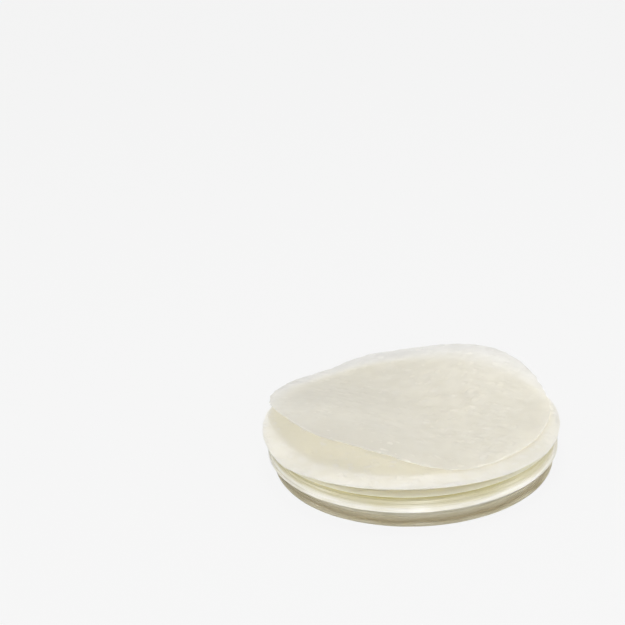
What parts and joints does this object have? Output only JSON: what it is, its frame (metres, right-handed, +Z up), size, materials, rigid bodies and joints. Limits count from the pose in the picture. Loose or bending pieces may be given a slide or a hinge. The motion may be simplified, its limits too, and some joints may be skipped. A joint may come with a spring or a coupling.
{
  "type": "rice paper wrapper stack",
  "caption": "Pile of dried round rice paper wrappers with a woven mat print, the last one curled and slid back so that it juts out over the pile.",
  "frame": {"origin": "middle of the lowest wrapper's underside, the face that the stack rests on", "axes": "+Z up through the stack, +Y towards the side where the curled wrapper juts out, +X to the right seen from the front"},
  "size_m": [0.22, 0.2382, 0.0516],
  "materials": {
    "pile_wrapper": "dry rice sheet, cream, slightly translucent, low sheen",
    "loose_wrapper": "dry rice sheet, pale cream, translucent, low sheen, woven mat print",
    "single_wrapper": "single dry rice sheet, whitish and see-through, low sheen, woven mat print"
  },
  "bodies": {
    "root": {"wrapper_01": "pile_wrapper", "wrapper_02": "pile_wrapper", "wrapper_03": "pile_wrapper", "wrapper_04": "pile_wrapper", "wrapper_05": "pile_wrapper", "wrapper_06": "pile_wrapper", "wrapper_07": "pile_wrapper", "wrapper_08": "pile_wrapper", "wrapper_09": "pile_wrapper", "wrapper_10": "pile_wrapper", "wrapper_11": "pile_wrapper", "wrapper_12": "pile_wrapper", "wrapper_13": "pile_wrapper", "wrapper_14": "pile_wrapper", "wrapper_15": "pile_wrapper", "wrapper_16": "pile_wrapper", "wrapper_17": "pile_wrapper", "wrapper_18": "pile_wrapper", "wrapper_19": "pile_wrapper", "wrapper_20": "pile_wrapper", "wrapper_21": "pile_wrapper", "wrapper_22": "pile_wrapper", "wrapper_23": "pile_wrapper", "wrapper_24": "pile_wrapper", "wrapper_25": "pile_wrapper", "wrapper_26": "pile_wrapper", "wrapper_27": "pile_wrapper", "wrapper_28": "pile_wrapper", "wrapper_29": "pile_wrapper", "wrapper_30": "pile_wrapper", "wrapper_31": "pile_wrapper", "wrapper_32": "pile_wrapper", "wrapper_33": "pile_wrapper", "wrapper_34": "pile_wrapper", "wrapper_35": "pile_wrapper", "wrapper_36": "pile_wrapper", "wrapper_37": "pile_wrapper", "wrapper_38": "loose_wrapper", "wrapper_39": "loose_wrapper", "wrapper_40": "single_wrapper"}
  },
  "joints": []
}
